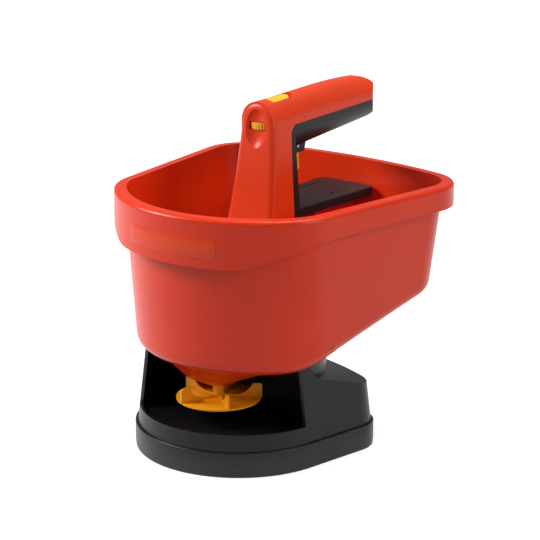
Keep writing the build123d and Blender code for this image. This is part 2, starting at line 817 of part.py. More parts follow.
grip_screw_spots = (150.0, 204.0)


def grip_parting(y):
    return parting_z + parting_slope * (y - parting_y)


def handle_outer():
    return column_form(0) + grip_form(0)


def handle_cavity():
    cavity = column_form(handle_wall) + grip_form(handle_wall)
    cavity += extrude(case_face(handle_wall, column_bottom - 1, column_rear_low), amount=2)
    cavity -= scoop(handle_wall)
    pocket = slider_plan(slider_front_y - 4, slider_rear_y + slider_travel + 4, slider_half_width + 4,
                         slider_floor - slider_floor_thickness, 340)
    return cavity - pocket


cable_path_points = ((-13.0, 106.0, 290.0), (-13.0, 84.0, 288.0), (-13.0, 77.0, 270.0), (-14.0, 74.0, 200.0),
                     (-24.5, 62.0, 160.0), (-24.5, 45.0, 122.0), (-24.5, 45.0, 98.0))


def make_gate_cable():
    path = FilletPolyline(*cable_path_points, radius=7)
    start = Plane(origin=path @ 0, z_dir=path % 0)
    sheath = sweep(start * Circle(cable_radius), path=path)
    ferrule = rod(cable_radius + 0.9, case_bottom - 5, case_bottom, -24.5, 45.0)
    return sheath + ferrule


def make_handle_shell(outer, cavity):
    body = outer - liner_zone()
    webs = cavity & dial_webs()
    body -= cavity
    body += webs - liner_zone()
    body -= scoop(0)
    half_window = sqrt(dial_radius ** 2 - (dial_y - scoop_face_y - scoop_depth) ** 2) + 1.0
    body -= block(-half_window, half_window, 50, dial_y, dial_z - dial_thickness / 2 - 0.5,
                  dial_z + dial_thickness / 2 + 0.5)
    body -= rod(dial_pin_radius + screw_fit, dial_z - 20, dial_z + 14, 0, dial_y)
    body -= slider_plan(slider_front_y - slide_gap, slider_rear_y + slider_travel + slide_gap,
                        slider_half_width + slide_gap, slider_floor, 340)
    stem_y = (slider_front_y + slider_rear_y) / 2
    body -= block(-slider_stem_width / 2 - slide_gap, slider_stem_width / 2 + slide_gap,
                  stem_y - slider_stem_length / 2 - slide_gap,
                  stem_y + slider_stem_length / 2 + slider_travel + slide_gap, slider_floor - 10,
                  slider_floor + 1)
    for x, y in column_screw_spots:
        body += rod(4.6, column_bottom, column_bottom + 18, x, y)
        body -= rod(screw_radius + screw_fit, column_bottom - 1, column_bottom + 14, x, y)
    for y in grip_screw_spots:
        body += rod(3.8, grip_parting(y), grip_boss_top, 0, y)
        body -= rod(small_screw_radius + screw_fit, grip_parting(y) - 1, grip_parting(y) + 12, 0, y)
    return body


def make_handle_liner(outer, cavity):
    solid = outer + make_hand_plate()
    body = solid & liner_zone()
    body -= cavity & liner_zone() & block(-60, 60, 0, 300, hand_plate_top, 400)
    body -= bay_hole()
    body -= lid_pocket()
    body -= across(trigger_pin_radius + screw_fit, hood_half_width, trigger_pivot_y, trigger_pivot_z)
    body -= block(-hood_half_width + 2, hood_half_width - 2, hood_front_y + hood_wall,
                  hood_rear_bottom - hood_wall,
                  hood_bottom, hood_top + 4)
    pad = block(-4.2, 4.2, switch_rear_y - 13, hood_front_y + hood_wall, grip_low(hood_front_y),
                switch_seat_z)
    body += pad & outer
    for y in grip_screw_spots:
        low = grip_low(y)
        body += rod(5.2, low + 3, grip_parting(y) - 0.2, 0, y)
        body -= rod(small_head_radius + 0.4, low - 5, grip_parting(y) - 9, 0, y)
        body -= rod(small_screw_radius + screw_fit, low, grip_parting(y) + 1, 0, y)
    return body


def grip_low(y):
    y0, low0, _ = grip_sections[0]
    y1, low1, _ = grip_sections[-1]
    return mix(low0, low1, (y - y0) / (y1 - y0))


def make_grip_screws():
    return [screw_up(0, y, grip_parting(y) - 9, 18, small_screw_radius, small_head_radius, 2.2)
            for y in grip_screw_spots]


def make_flow_dial():
    half = dial_thickness / 2 - 0.15
    body = rod(dial_radius - 0.6, dial_z - half, dial_z + half, 0, dial_y)
    for i in range(dial_ribs):
        angle = 2 * pi * i / dial_ribs
        x = (dial_radius - 0.7) * cos(angle)
        y = dial_y + (dial_radius - 0.7) * sin(angle)
        body += rod(0.7, dial_z - half, dial_z + half, x, y)
    body -= rod(dial_pin_radius + running_fit, dial_z - 10, dial_z + 10, 0, dial_y)
    return body


def make_dial_pin():
    half = dial_thickness / 2 + 1.0 + web_thickness
    return rod(dial_pin_radius, dial_z - half, dial_z + half, 0, dial_y)


def make_power_slider():
    top = grip_form(0.5)
    plan = slider_plan(slider_front_y, slider_rear_y, slider_half_width, slider_floor + 0.2, 340)
    body = plan & top
    stem_y = (slider_front_y + slider_rear_y) / 2
    return body + block(-slider_stem_width / 2, slider_stem_width / 2, stem_y - slider_stem_length / 2,
                        stem_y + slider_stem_length / 2, slider_floor - 5, slider_floor + 0.5)


# Trigger

def make_trigger_hood(outer):
    top = grip_low(hood_rear_top) + 8
    block_form = side_prism([(hood_front_y, hood_bottom), (hood_rear_bottom, hood_bottom),
                             (hood_rear_top, hood_top),
                             (hood_rear_top, top), (hood_front_y, top)], hood_half_width)
    body = block_form - outer
    slot_half = trigger_half_width + slide_gap
    body -= block(-slot_half, slot_half, hood_front_y + hood_wall, hood_rear_bottom - hood_wall,
                  hood_bottom - 1, 300)
    body -= across(trigger_pin_radius + screw_fit, hood_half_width + 1, trigger_pivot_y, trigger_pivot_z)
    return max(body.solids(), key=lambda s: s.volume)


def make_trigger_lever():
    hub = across(trigger_hub_radius, trigger_half_width, trigger_pivot_y, trigger_pivot_z)
    blade = side_prism([(trigger_front_y + 1.5, trigger_pivot_z), (trigger_front_y, trigger_pivot_z - 6),
                        (trigger_front_y, trigger_bottom + 2), (trigger_front_y + 2, trigger_bottom),
                        (trigger_rear_y - 2, trigger_bottom), (trigger_rear_y, trigger_bottom + 2),
                        (trigger_rear_y - 0.6, trigger_pivot_z - 4),
                        (trigger_rear_y - 1.6, trigger_pivot_z)],
                       trigger_half_width)
    body = hub + blade
    pitch = (trigger_rear_y - trigger_front_y - 2) / trigger_ribs
    for side in (-1, 1):
        for i in range(trigger_ribs):
            y = trigger_front_y + 1 + pitch * (i + 0.5)
            x = side * trigger_half_width
            body -= block(x - 0.5, x + 0.5, y - 0.45, y + 0.45, trigger_bottom + 2, trigger_pivot_z - 7)
    body += block(-1.6, 1.6, trigger_pivot_y - 1.6, trigger_pivot_y + 1.6, trigger_pivot_z,
                  trigger_pivot_z + arm_height)
    body -= block(spring_x - spring_half - 0.4, trigger_half_width + 1, trigger_pivot_y - 6,
                  trigger_pivot_y + 6,
                  trigger_pivot_z - spring_radius - 1.0, trigger_pivot_z + 6)
    body -= across(trigger_pin_radius + running_fit, trigger_half_width + 1, trigger_pivot_y,
                   trigger_pivot_z)
    return body


def make_trigger_spring():
    # Torsion spring on the pin beside the lever's arm, with one leg on the liner and one on the lever
    wire = 0.45
    ring = spring_radius
    coil = across(ring + wire * 0.3, spring_half, trigger_pivot_y, trigger_pivot_z)
    coil = Pos(spring_x, 0, 0) * coil
    turns = int(2 * spring_half / (2 * wire))
    for i in range(turns):
        x = spring_x - spring_half + wire + i * (2 * spring_half - 2 * wire) / (turns - 1)
        coil += Pos(x, trigger_pivot_y, trigger_pivot_z) * Rot(0, 90, 0) * Torus(ring, wire)
    leg_y = trigger_pivot_y + ring
    rear = hood_rear_bottom - hood_wall - 0.3
    leg = FilletPolyline((spring_x, leg_y, trigger_pivot_z), (spring_x, leg_y, trigger_pivot_z + 5.0),
                         (spring_x, rear, trigger_pivot_z + 5.0), radius=1.0)
    coil += sweep(Plane(origin=leg @ 0, z_dir=leg % 0) * Circle(wire), path=leg)
    return coil - Pos(spring_x, 0, 0) * across(ring - wire * 0.6, spring_half + 1, trigger_pivot_y,
                                               trigger_pivot_z)


def make_motor_switch():
    body = block(-3.2, 3.2, switch_rear_y - 12.6, switch_rear_y, switch_seat_z, switch_seat_z + 6.4)
    button = Pos(0, switch_rear_y + 0.4, switch_seat_z + 4.0) * Rot(90, 0, 0) * Cylinder(1.1, 1.6)
    terminals = block(-0.3, 0.3, switch_rear_y - 14.6, switch_rear_y - 12.4, switch_seat_z + 1.5,
                      switch_seat_z + 3.5)
    return body + button + terminals


def make_trigger_pin():
    return across(trigger_pin_radius, hood_half_width - 0.2, trigger_pivot_y, trigger_pivot_z)


# Drive

def gear(teeth, width, z, bore, x=0.0, y=0.0, turn=0.0):
    # Spur gear with involute flanks; its first tooth points along +X before it is turned
    pitch = gear_module * teeth / 2
    base = pitch * cos(radians(pressure_angle))
    tip = pitch + tooth_addendum * gear_module
    root = pitch - tooth_dedendum * gear_module
    involute = tan(radians(pressure_angle)) - radians(pressure_angle)
    half_pitch = pi / (2 * teeth) - tooth_backlash / (2 * pitch)

    def half_angle(r):
        if r <= base:
            return half_pitch + involute
        a = acos(base / r)
        return half_pitch + involute - (tan(a) - a)

    radii = [max(base, root) + (tip - max(base, root)) * t for t in (0.0, 0.35, 0.7, 1.0)]
    points = []
    for i in range(teeth):
        centre = radians(turn) + 2 * pi * i / teeth
        flank = [(r, half_angle(r)) for r in radii]
        points.append((root, centre - half_angle(radii[0])))
        points += [(r, centre - h) for r, h in flank]
        points += [(r, centre + h) for r, h in reversed(flank)]
        points.append((root, centre + half_angle(radii[0])))
    if root >= base:
        points = [p for k, p in enumerate(points) if k % 10 not in (0, 9)]
    face = make_face(Polyline(*[(r * cos(a), r * sin(a)) for r, a in points], close=True))
    body = Pos(x, y, z) * extrude(face, amount=width)
    return body - rod(bore, z - 1, z + width + 1, x, y)


idler_y = gear_module * (output_teeth + idler_small_teeth) / 2
motor_y = idler_y + gear_module * (idler_large_teeth + pinion_teeth) / 2
gear_low = case_bottom + case_wall + gear_floor_gap
output_z = gear_low + 0.6
idler_large_z = output_z + output_gear_width + 1.6
motor_plate_top = column_bottom
motor_plate_low = motor_plate_top - motor_plate_thickness


def make_output_gear():
    hub = rod(7.0, output_z - 0.6, output_z + output_gear_width)
    body = gear(output_teeth, output_gear_width - 2, output_z, shaft_radius) + hub
    return body - rod(shaft_radius, 0, 300)


def make_idler_gear():
    small = gear(idler_small_teeth, idler_large_z - gear_low + 0.5, gear_low, idler_pin_radius, 0, idler_y,
                 180 / idler_small_teeth)
    large = gear(idler_large_teeth, idler_gear_width, idler_large_z, idler_pin_radius, 0, idler_y)
    body = small + large
    return body - rod(idler_pin_radius + running_fit, 0, 300, 0, idler_y)


def make_motor_pinion():
    return gear(pinion_teeth, idler_gear_width + 1, idler_large_z - 0.5, motor_shaft_radius, 0, motor_y)


def make_motor_shaft():
    return rod(motor_shaft_radius, idler_large_z - 1.0, motor_plate_top + 6, 0, motor_y)


def make_idler_pin():
    return rod(idler_pin_radius, case_bottom + 0.6, motor_plate_low, 0, idler_y)


def make_gear_case():
    body = extrude(case_face(0, case_bottom, column_rear_low), amount=motor_plate_low - case_bottom)
    body -= extrude(case_face(case_wall, case_bottom + case_wall, column_rear_low), amount=60)
    pad = block(-pad_half_width, pad_half_width, pad_front, column_rear_low - 1, case_bottom,
                motor_plate_low)
    body += pad & extrude(case_face(0.5, case_bottom, column_rear_low), amount=motor_plate_low - case_bottom)
    front = pad_front + case_wall
    rear = column_rear_low + 1
    body -= side_prism([(front, floor_z(front) + hopper_wall), (rear, floor_z(rear) + hopper_wall),
                        (rear, 0),
                        (front, 0)], case_half_width + 1)
    body -= rod(bush_radius + 0.01, case_bottom - 1, case_bottom + 5)
    body -= rod(cable_radius + 0.15, 0, 200, -24.5, 45.0)
    body += tube(3.6, idler_pin_radius + 0.01, case_bottom, gear_low - 0.3, 0, idler_y)
    body -= rod(idler_pin_radius + 0.01, case_bottom + 0.6, case_bottom + 20, 0, idler_y)
    for x, y in column_screw_spots:
        body -= rod(screw_radius + screw_fit, 80, 200, x, y)
    return body


def make_case_bush():
    return tube(bush_radius, shaft_radius + running_fit, case_bottom, case_bottom + case_wall + 0.4)


def make_motor_plate():
    body = extrude(case_face(0.0, motor_plate_low, column_rear_low), amount=motor_plate_thickness)
    body -= rod(shaft_radius + running_fit, 0, 300)
    body -= rod(motor_shaft_radius + 1.6, 0, 300, 0, motor_y)
    body -= rod(cable_radius + 1.2, 0, 300, -24.5, 49.0) + rod(cable_radius + 1.2, 0, 300, -24.5, 46.0)
    for x, y in column_screw_spots:
        body -= rod(screw_radius + screw_fit, 80, 200, x, y)
    return body


def make_motor_can():
    low = motor_plate_top
    body = rod(motor_radius, low, low + motor_length, 0, motor_y)
    body = fillet(body.faces().sort_by(Axis.Z)[-1].edges(), 1.5)
    body += rod(4.0, low + motor_length, low + motor_length + 2, 0, motor_y)
    return body - rod(motor_shaft_radius + running_fit, low - 1, low + 8, 0, motor_y)


def make_column_screws():
    seat = [floor_z(y) for _, y in column_screw_spots]
    screws = []
    for (x, y), z in zip(column_screw_spots, seat):
        low = z - 1.4
        length = column_bottom + 12 - low
        screws.append(screw_up(x, y, low, length, screw_radius, screw_head_radius, screw_head_height))
    return screws


def make_drive_shaft():
    body = rod(shaft_radius, shaft_bottom, motor_plate_top)
    return chamfer(body.faces().sort_by(Axis.Z)[0].edges(), 0.6)


def make_agitator():
    low = boss_top + 2.6
    body = tube(6.0, shaft_radius, low, low + 12)
    path = FilletPolyline((5.0, 0, low + 9), (17.0, 0, low + 9), (19.5, 0, low + 3.5), radius=3)
    arm = sweep(Plane(origin=path @ 0, z_dir=path % 0) * Circle(1.3), path=path)
    for angle in (20, 200):
        body += Rot(0, 0, angle) * arm
    return body - rod(shaft_radius, 0, 300)


def make_spreading_disc():
    low = disc_top - disc_thickness
    body = rod(disc_radius, low, disc_top)
    body = fillet(body.faces().sort_by(Axis.Z)[0].edges(), 0.8)
    body += rod(hub_radius, low - 2.4, hub_top)
    tip = disc_radius + fin_reach
    top = disc_top + fin_height
    inner = tip - fin_tab
    edges = [Line((fin_foot_radius - 7, 0, disc_top - 0.5), (tip, 0, disc_top - 0.5)),
             Line((tip, 0, disc_top - 0.5), (tip, 0, top - 2.2)),
             ThreePointArc((tip, 0, top - 2.2), (tip - 0.7, 0, top - 0.7), (tip - 2.4, 0, top)),
             Line((tip - 2.4, 0, top), (inner + 1.2, 0, top - 0.4)),
             ThreePointArc((inner + 1.2, 0, top - 0.4), (inner + 0.3, 0, top - 0.9), (inner, 0, top - 2)),
             ThreePointArc((inner, 0, top - 2), (inner - 6.2, 0, disc_top + 4.8),
                           (fin_foot_radius, 0, disc_top + 2.2)),
             Line((fin_foot_radius, 0, disc_top + 2.2), (fin_foot_radius - 7, 0, disc_top + 2.2)),
             Line((fin_foot_radius - 7, 0, disc_top + 2.2), (fin_foot_radius - 7, 0, disc_top - 0.5))]
    fin = extrude(make_face(edges), amount=fin_thickness / 2, dir=(0, 1, 0), both=True)
    for i in range(fin_count):
        body += Rot(0, 0, fin_first_angle + i * 360 / fin_count) * fin
    return body - rod(shaft_radius, 0, 300)


handle_solid = handle_outer()
handle_hollow = handle_cavity()

parts = {
    "hopper": make_hopper(),
    "outlet_bush": make_outlet_bush(),
    "outlet_gate": make_outlet_gate(),
    "foot_shell": make_foot_shell(),
    "foot_floor_plate": make_foot_floor_plate(),
    "foot_plate_screws": make_foot_plate_screws(),
    "hopper_screws": make_hopper_screws(),
    "handle_shell": make_handle_shell(handle_solid, handle_hollow),
    "handle_liner": make_handle_liner(handle_solid, handle_hollow),
    "grip_screws": make_grip_screws(),
    "column_screws": make_column_screws(),
    "battery_box": make_battery_box(),
    "battery_lid": make_battery_lid(),
    "battery_contacts": make_contacts(),
    "contact_springs": make_contact_springs(),
    "flow_dial": make_flow_dial(),
    "dial_pin": make_dial_pin(),
    "power_slider": make_power_slider(),
    "trigger_hood": make_trigger_hood(handle_solid),
    "trigger_lever": make_trigger_lever(),
    "trigger_pin": make_trigger_pin(),
    "trigger_spring": make_trigger_spring(),
    "motor_switch": make_motor_switch(),
    "gate_cable": make_gate_cable(),
    "spreading_disc": make_spreading_disc(),
    "drive_shaft": make_drive_shaft(),
    "output_gear": make_output_gear(),
    "idler_gear": make_idler_gear(),
    "idler_pin": make_idler_pin(),
    "motor_pinion": make_motor_pinion(),
    "motor_shaft": make_motor_shaft(),
    "motor_can": make_motor_can(),
    "motor_plate": make_motor_plate(),
    "gear_case": make_gear_case(),
    "case_bush": make_case_bush(),
    "agitator": make_agitator(),
}
for ix in (0, 1):
    for iz in (0, 1):
        parts[f"battery_cell_{1 + ix * 2 + iz}"] = make_cell(ix, iz)

for name, shape in parts.items():
    solids = shape if isinstance(shape, list) else [shape]
    export_step(Compound(children=[Compound(s.solids()) for s in solids]), f"parts/{name}.step")
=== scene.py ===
"""Dresses the lawn spreader: finishes for its moulded and metal pieces, the bare label, light and camera."""

from __future__ import annotations

import logging
import math
from dataclasses import dataclass
from enum import Enum
from typing import Any, Callable, Mapping, Sequence

import bpy
from mathutils import Matrix, Vector


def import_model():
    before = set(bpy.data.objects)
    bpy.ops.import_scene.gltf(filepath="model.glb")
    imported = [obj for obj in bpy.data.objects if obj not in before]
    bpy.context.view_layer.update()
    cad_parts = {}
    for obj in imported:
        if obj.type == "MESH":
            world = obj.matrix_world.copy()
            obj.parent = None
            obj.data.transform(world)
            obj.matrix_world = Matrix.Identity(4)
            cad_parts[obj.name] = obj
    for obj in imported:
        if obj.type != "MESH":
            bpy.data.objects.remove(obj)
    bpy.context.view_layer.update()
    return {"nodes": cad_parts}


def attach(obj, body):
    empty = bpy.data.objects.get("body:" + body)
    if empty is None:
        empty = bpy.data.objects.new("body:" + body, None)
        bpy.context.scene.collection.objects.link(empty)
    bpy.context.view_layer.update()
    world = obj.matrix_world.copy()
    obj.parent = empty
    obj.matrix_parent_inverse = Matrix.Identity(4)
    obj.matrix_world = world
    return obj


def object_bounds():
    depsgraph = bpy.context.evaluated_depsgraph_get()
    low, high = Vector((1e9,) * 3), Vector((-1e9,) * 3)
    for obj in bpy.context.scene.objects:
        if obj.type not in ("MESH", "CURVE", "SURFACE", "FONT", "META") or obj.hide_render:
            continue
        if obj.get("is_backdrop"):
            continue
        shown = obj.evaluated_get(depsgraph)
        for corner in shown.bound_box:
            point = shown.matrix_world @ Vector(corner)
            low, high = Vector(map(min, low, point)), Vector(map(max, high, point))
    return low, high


LOG = logging.getLogger("spreader")

Colour = tuple[float, float, float]


def linear(red: float, green: float, blue: float) -> Colour:
    """Turns a colour of a screen, 0 to 255, into a linear one.

    Args:
        red: Red from 0 to 255.
        green: Green from 0 to 255.
        blue: Blue from 0 to 255.

    Returns:
        The linear colour, 0 to 1.
    """
    def one(value: float) -> float:
        share = value / 255
        return share / 12.92 if share <= 0.04045 else ((share + 0.055) / 1.055) ** 2.4

    return one(red), one(green), one(blue)


def tinted(colour: Colour, factor: float) -> Colour:
    """Returns the colour made lighter or darker by a factor."""
    return tuple(min(1.0, part * factor) for part in colour)  # type: ignore[return-value]


PLASTIC_IOR = 1.46
DUST: Colour = (0.32, 0.30, 0.27)
SLEEVE_DARK: Colour = (0.030, 0.032, 0.038)
SLEEVE_DARK_LIT: Colour = (0.045, 0.047, 0.055)
SLEEVE_BAND: Colour = (0.62, 0.36, 0.16)
SLEEVE_BAND_LIT: Colour = (0.72, 0.45, 0.22)
BARE_STEEL: Colour = (0.55, 0.55, 0.56)
RED: Colour = linear(214, 49, 10)
# Darker red painted on the parts inside the hopper: painted shade for the shade they sit in.
RED_PAINTED_SHADE: Colour = linear(190, 34, 20)
BLACK: Colour = linear(26, 26, 27)
YELLOW: Colour = linear(244, 168, 20)
SMOOTH_ANGLE = 35.0


class Shade:
    """A shader socket that takes part in sums, differences, products and quotients."""

    def __init__(self, bench: "Bench", socket: bpy.types.NodeSocket) -> None:
        """Keeps the socket and the bench it belongs to."""
        self.bench = bench
        self.socket = socket

    def _with(self, operation: str, first: Any, second: Any) -> "Shade":
        """Adds one Math node and returns its value."""
        return self.bench.add("ShaderNodeMath", {"operation": operation}, {0: first, 1: second})

    def __add__(self, other: Any) -> "Shade":
        """Returns the sum."""
        return self._with("ADD", self, other)

    __radd__ = __add__

    def __sub__(self, other: Any) -> "Shade":
        """Returns the difference."""
        return self._with("SUBTRACT", self, other)

    def __rsub__(self, other: Any) -> "Shade":
        """Returns the difference from a plain number."""
        return self._with("SUBTRACT", other, self)

    def __mul__(self, other: Any) -> "Shade":
        """Returns the product."""
        return self._with("MULTIPLY", self, other)

    __rmul__ = __mul__

    def __truediv__(self, other: Any) -> "Shade":
        """Returns the quotient."""
        return self._with("DIVIDE", self, other)


class Bench:
    """The node tree of one material, with short ways to add nodes to it."""

    def __init__(self, name: str) -> None:
        """Starts an empty material with its shader and output.

        Args:
            name: Name of the material.
        """
        self.material = bpy.data.materials.new(name)
        self.material.use_nodes = True
        self.tree = self.material.node_tree
        self.tree.nodes.clear()
        self.output = self.tree.nodes.new("ShaderNodeOutputMaterial")
        self.shader = self.tree.nodes.new("ShaderNodeBsdfPrincipled")
        self.tree.links.new(self.shader.outputs[0], self.output.inputs[0])

    def add(self, kind: str, settings: Mapping[str, Any], sockets: Mapping[Any, Any], out: Any = 0) -> Shade:
        """Adds a node, sets it, and feeds its sockets.

        Args:
            kind: Type of the node.
            settings: Settings that are made first, such as a Math node's operation.
            sockets: Values or links by the socket's name or number.
            out: Output to return, by name or number.

        Returns:
            The chosen output.
        """
        node = self.tree.nodes.new(kind)
        for key, value in settings.items():
            setattr(node, key, value)
        for key, value in sockets.items():
            self.feed(node.inputs[key], value)
        return Shade(self, node.outputs[out])

    def feed(self, socket: bpy.types.NodeSocket, value: Any) -> None:
        """Links a Shade to a socket or sets a plain value on it.

        Args:
            socket: Input that is fed.
            value: Link, number, colour or vector.
        """
        if isinstance(value, Shade):
            self.tree.links.new(value.socket, socket)
        elif isinstance(value, tuple) and len(value) == 3 and socket.type == "RGBA":
            socket.default_value = (*value, 1.0)
        else:
            socket.default_value = value

    def place(self, stretch: tuple[float, float, float] = (1, 1, 1)) -> Shade:
        """Returns the place on the object, stretched.

        Args:
            stretch: Factor along each axis.

        Returns:
            The stretched place.
        """
        where = self.add("ShaderNodeTexCoord", {}, {}, "Object")
        return self.add("ShaderNodeMapping", {}, {"Vector": where, "Scale": stretch})

    def noise(self, where: Shade, scale: float, detail: float = 3.0, rough: float = 0.5) -> Shade:
        """Returns soft noise from 0 to 1."""
        return self.add("ShaderNodeTexNoise", {}, {"Vector": where, "Scale": scale, "Detail": detail,
                                                   "Roughness": rough}, 0)

    def cells(self, where: Shade, scale: float) -> Shade:
        """Returns the distance to the nearest point of a cell pattern."""
        return self.add("ShaderNodeTexVoronoi", {}, {"Vector": where, "Scale": scale}, "Distance")

    def span(self, value: Shade, low: float, high: float) -> Shade:
        """Returns 0 below low and 1 above high, with a smooth step between."""
        return self.add("ShaderNodeMapRange", {"interpolation_type": "SMOOTHSTEP"},
                        {"Value": value, "From Min": low, "From Max": high})

    def mix(self, share: Any, first: Any, second: Any) -> Shade:
        """Mixes two colours.

        Args:
            share: How much of the second colour there is, 0 to 1.
            first: First colour.
            second: Second colour.

        Returns:
            The mixed colour.
        """
        node = self.tree.nodes.new("ShaderNodeMix")
        node.data_type = "RGBA"
        self.feed(node.inputs[0], share)
        self.feed(node.inputs[6], first)
        self.feed(node.inputs[7], second)
        return Shade(self, node.outputs[2])

    def bump(self, height: Shade, strength: float, depth: float) -> None:
        """Feeds a height, in metres of depth, to the shader's normal."""
        normal = self.add("ShaderNodeBump", {}, {"Height": height, "Strength": strength, "Distance": depth})
        self.feed(self.shader.inputs["Normal"], normal)

    def set(self, **values: Any) -> None:
        """Feeds sockets of the shader by name, with spaces written as underscores."""
        for key, value in values.items():
            self.feed(self.shader.inputs[key.replace("_", " ")], value)


@dataclass(frozen=True)
class Moulded:
    """Injection-moulded plastic with a fine eroded grain, flow shading, light scuffs and, low down, dust."""

    name: str
    colour: Colour
    roughness: float = 0.4
    grain_scale: float = 2600.0
    grain_depth: float = 0.00003
    shade: float = 0.06
    scuff: float = 0.06
    specular: float = 0.32
    dust: float = 0.0
    flow_scale: float = 9.0
    scuff_scale: float = 60.0
    scuff_stretch: tuple[float, float, float] = (1, 1, 6)
    scuff_from: float = 0.6
    scuff_full: float = 0.78
    dust_height: float = 0.03

    def tint(self, bench: Bench, where: Shade, flow: Shade, worn: Shade) -> Shade:
        """Colours the plastic.

        Args:
            bench: Node tree of the material.
            where: Place on the object.
            flow: Broad flow shading, 0 to 1.
            worn: Scuffed places, 0 to 1.

        Returns:
            The colour.
        """
        plain = bench.mix(bench.span(flow, 0.3, 0.7), tinted(self.colour, 1 - self.shade),
                          tinted(self.colour, 1 + self.shade))
        pale = tuple(min(1.0, part * 0.8 + 0.16) for part in self.colour)
        colour = bench.mix(worn * self.scuff, plain, pale)
        if not self.dust:
            return colour
        height = bench.add("ShaderNodeSeparateXYZ", {}, {0: where}, "Z")
        share = bench.span(height, self.dust_height, 0.0) * bench.span(flow, 0.2, 0.8) * self.dust
        return bench.mix(share, colour, DUST)

    def make(self) -> bpy.types.Material:
        """Builds the material.

        Returns:
            The material.
        """
        bench = Bench(self.name)
        where = bench.place()
        flow = bench.noise(where, self.flow_scale, 2.0, 0.45)
        fine = bench.noise(where, self.grain_scale, 2.0, 0.6)
        grain = bench.cells(where, self.grain_scale * 0.55)
        marks = bench.noise(bench.place(self.scuff_stretch), self.scuff_scale, 5.0, 0.65)
        worn = bench.span(marks, self.scuff_from, self.scuff_full)
        rough = self.roughness + (flow - 0.5) * 0.10 + worn * 0.12 + (fine - 0.5) * 0.08
        bench.set(Base_Color=self.tint(bench, where, flow, worn), Roughness=rough, IOR=PLASTIC_IOR,
                  Specular_IOR_Level=self.specular)
        bench.bump(grain * 0.6 + fine * 0.4, 0.5, self.grain_depth)
        return bench.material


class Turning(Enum):
    """Direction of the tool marks on a metal piece."""

    ROUND_Z = (3.0, 3.0, 2200.0)
    ROUND_X = (2200.0, 3.0, 3.0)
    NONE = (60.0, 60.0, 60.0)


@dataclass(frozen=True)
class Metal:
    """Turned, drawn or rolled metal with fine marks and a few stains."""

    name: str
    colour: Colour
    turning: Turning = Turning.ROUND_Z
    roughness: float = 0.28
    mark_depth: float = 0.00001
    stain_scale: float = 130.0
    stain_share: float = 0.35

    def make(self) -> bpy.types.Material:
        """Builds the material.

        Returns:
            The material.
        """
        bench = Bench(self.name)
        marks = bench.noise(bench.place(self.turning.value), 1.0, 3.0, 0.6)
        stain = bench.span(bench.noise(bench.place(), self.stain_scale, 4.0, 0.6), 0.45, 0.75)
        lit = bench.mix(marks, tinted(self.colour, 0.88), tinted(self.colour, 1.06))
        colour = bench.mix(stain * self.stain_share, lit, tinted(self.colour, 0.6))
        bench.set(Base_Color=colour, Metallic=1.0, Roughness=self.roughness + marks * 0.14 + stain * 0.15)
        bench.bump(marks, 0.35, self.mark_depth)
        return bench.material


@dataclass(frozen=True)
class CellSleeve:
    """Plain dark foil round a dry cell, with one metal-coloured band and bare steel ends."""

    name: str
    front: float
    rear: float
    band_at_front: bool
    band_from: float = 0.70
    nub_from: float = 0.972
    base_to: float = 0.013
    sharp: float = 0.002
    crinkle_scale: float = 900.0

    def make(self) -> bpy.types.Material:
        """Builds the material.

        Returns:
            The material.
        """
        bench = Bench(self.name)
        where = bench.place()
        along = bench.add("ShaderNodeSeparateXYZ", {}, {0: where}, "Y")
        share = (along - self.front) / (self.rear - self.front)
        if self.band_at_front:
            share = 1 - share
        band = bench.span(share, self.band_from, self.band_from + self.sharp)
        nub = bench.span(share, self.nub_from, self.nub_from + self.sharp)
        ends = nub + bench.span(share, self.base_to, self.base_to - self.sharp)
        crinkle = bench.noise(where, self.crinkle_scale, 3.0, 0.6)
        body = bench.mix(crinkle, SLEEVE_DARK, SLEEVE_DARK_LIT)
        gold = bench.mix(crinkle, SLEEVE_BAND, SLEEVE_BAND_LIT)
        colour = bench.mix(ends, bench.mix(band, body, gold), BARE_STEEL)
        bench.set(Base_Color=colour, Metallic=band * 0.8 + ends * 0.2, Roughness=0.26 + crinkle * 0.1)
        bench.bump(crinkle, 0.2, 0.00002)
        return bench.material


@dataclass(frozen=True)
class Backdrop:
    """Pale floor that shows near white to the camera and keeps the shadow."""

    name: str
    colour: Colour
    lift: float
    near: float = 0.5
    far: float = 1.6

    def make(self) -> bpy.types.Material:
        """Builds the material.

        Returns:
            The material.
        """
        bench = Bench(self.name)
        ray = bench.add("ShaderNodeLightPath", {}, {}, "Is Camera Ray")
        glossy = bench.add("ShaderNodeLightPath", {}, {}, "Is Glossy Ray")
        through = bench.add("ShaderNodeLightPath", {}, {}, "Is Transmission Ray")
        away = bench.add("ShaderNodeVectorMath", {"operation": "LENGTH"}, {0: bench.place()}, "Value")
        low = (self.lift, self.lift, self.lift)
        glow = bench.mix(bench.span(away, self.near, self.far), low, (1.0, 1.0, 1.0))
        bench.set(Base_Color=self.colour, Roughness=0.9, Specular_IOR_Level=0.1, Emission_Color=glow)
        bench.feed(bench.shader.inputs["Emission Strength"], ray + glossy + through)
        return bench.material


